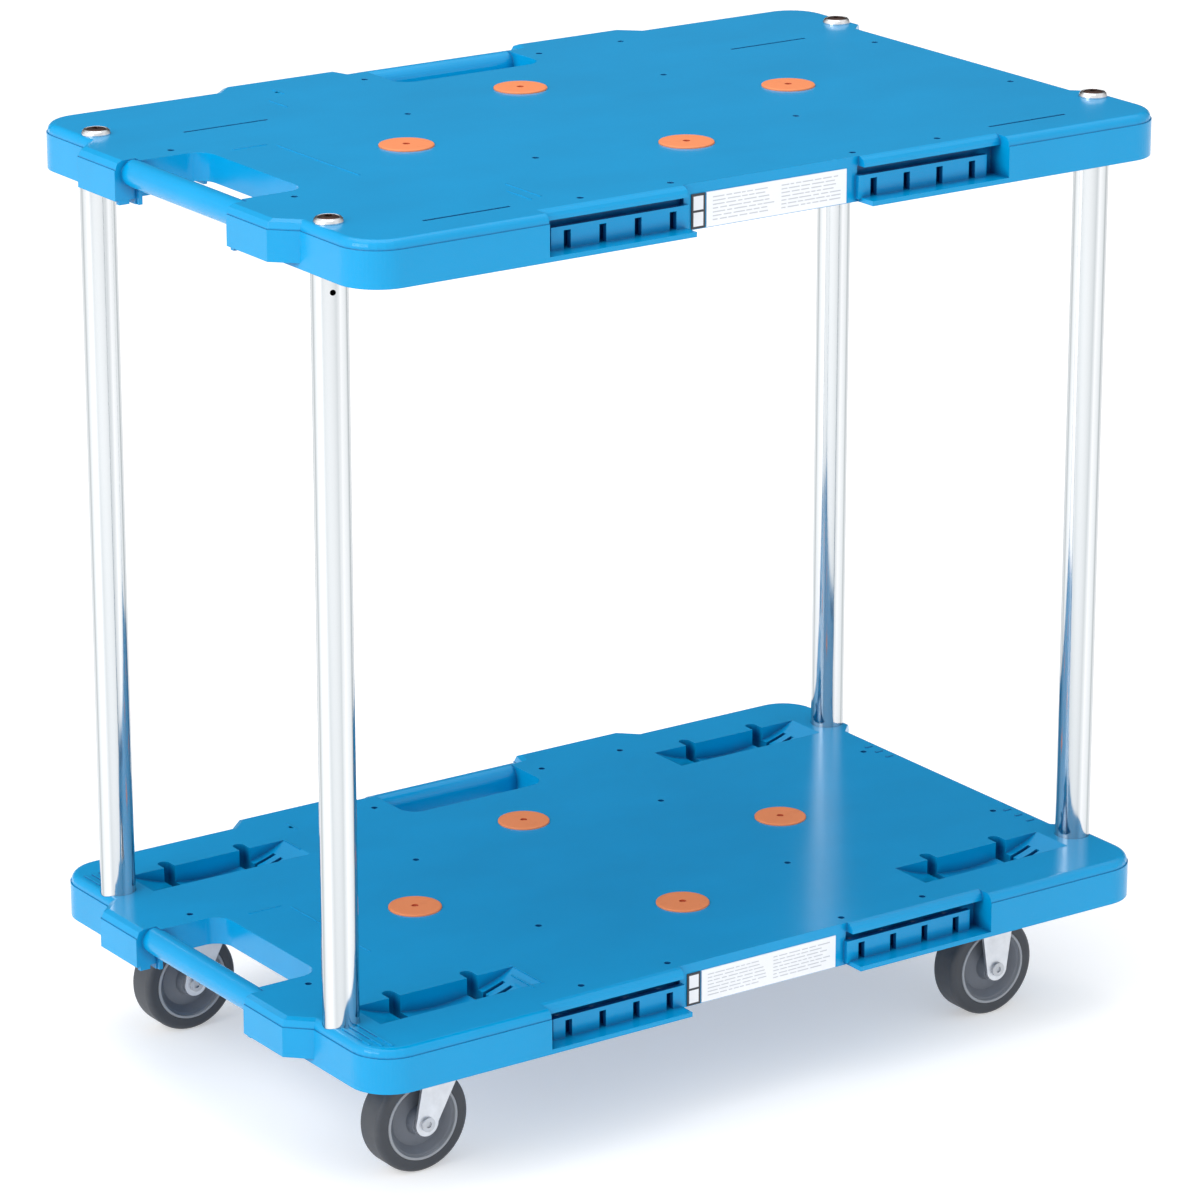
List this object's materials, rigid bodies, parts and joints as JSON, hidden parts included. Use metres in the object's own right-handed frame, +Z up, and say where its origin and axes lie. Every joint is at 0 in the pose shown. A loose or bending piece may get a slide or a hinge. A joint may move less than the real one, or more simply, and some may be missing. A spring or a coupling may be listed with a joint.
{
  "type": "flatbed platform truck",
  "caption": "Two-tier platform truck: moulded plastic decks with hand holes on tube posts, swivel casters at the handle end and rigid casters at the other",
  "frame": {"origin": "on the floor under the centre of the outline", "axes": "+Z up, X along the deck with the end handle at -X, the label side at -Y"},
  "size_m": [0.6856, 0.448, 0.6818],
  "materials": {
    "deck_plastic": "smooth moulded polypropylene, light blue",
    "pad_rubber": "orange anti-slip rubber",
    "label_white": "printed white film",
    "label_dark": "dark printed film",
    "post_chrome": "bright chrome plated tube",
    "plug_steel": "turned steel",
    "screw_zinc": "zinc plated",
    "cap_chrome": "bright plated pressed steel",
    "cap_screw": "dark bronze oxide",
    "caster_zinc": "bright zinc plated pressed steel",
    "axle_steel": "zinc plated",
    "hub_plastic": "grey moulded plastic",
    "tyre_rubber": "dark grey non-marking rubber"
  },
  "bodies": {
    "chassis": {"lower_deck": "deck_plastic", "upper_deck": "deck_plastic", "lower_deck_pads": "pad_rubber", "upper_deck_pads": "pad_rubber", "lower_label": "label_white", "upper_label": "label_white", "lower_label_tag": "label_dark", "upper_label_tag": "label_dark", "post_front_left": "post_chrome", "post_front_right": "post_chrome", "post_rear_left": "post_chrome", "post_rear_right": "post_chrome", "post_foot_plugs": "plug_steel", "post_top_plugs": "plug_steel", "post_foot_screws": "screw_zinc", "post_cap_washers": "cap_chrome", "post_cap_screws": "cap_screw", "caster_screws": "screw_zinc", "swivel_front_plate": "caster_zinc", "swivel_front_race": "caster_zinc", "swivel_front_kingpin": "axle_steel", "swivel_rear_plate": "caster_zinc", "swivel_rear_race": "caster_zinc", "swivel_rear_kingpin": "axle_steel", "rigid_front_fork": "caster_zinc", "rigid_front_axle": "axle_steel", "rigid_rear_fork": "caster_zinc", "rigid_rear_axle": "axle_steel"},
    "swivel_front": {"swivel_front_fork": "caster_zinc", "swivel_front_axle": "axle_steel"},
    "swivel_rear": {"swivel_rear_fork": "caster_zinc", "swivel_rear_axle": "axle_steel"},
    "swivel_front_wheel": {"swivel_front_hub": "hub_plastic", "swivel_front_tyre": "tyre_rubber"},
    "swivel_rear_wheel": {"swivel_rear_hub": "hub_plastic", "swivel_rear_tyre": "tyre_rubber"},
    "rigid_front_wheel": {"rigid_front_hub": "hub_plastic", "rigid_front_tyre": "tyre_rubber"},
    "rigid_rear_wheel": {"rigid_rear_hub": "hub_plastic", "rigid_rear_tyre": "tyre_rubber"}
  },
  "joints": [
    {"name": "swivel_front_turn", "type": "hinge", "parent": "chassis", "child": "swivel_front", "pos_m": [-0.22625, -0.162, 0.09], "axis": [0, 0, 1], "continuous": true},
    {"name": "swivel_rear_turn", "type": "hinge", "parent": "chassis", "child": "swivel_rear", "pos_m": [-0.22625, 0.148, 0.09], "axis": [0, 0, 1], "continuous": true},
    {"name": "swivel_front_roll", "type": "hinge", "parent": "swivel_front", "child": "swivel_front_wheel", "pos_m": [-0.25725, -0.162, 0.0375], "axis": [0, 1, 0], "continuous": true},
    {"name": "swivel_rear_roll", "type": "hinge", "parent": "swivel_rear", "child": "swivel_rear_wheel", "pos_m": [-0.25725, 0.148, 0.0375], "axis": [0, 1, 0], "continuous": true},
    {"name": "rigid_front_roll", "type": "hinge", "parent": "chassis", "child": "rigid_front_wheel", "pos_m": [0.24175, -0.162, 0.0375], "axis": [0, 1, 0], "continuous": true},
    {"name": "rigid_rear_roll", "type": "hinge", "parent": "chassis", "child": "rigid_rear_wheel", "pos_m": [0.24175, 0.148, 0.0375], "axis": [0, 1, 0], "continuous": true}
  ]
}
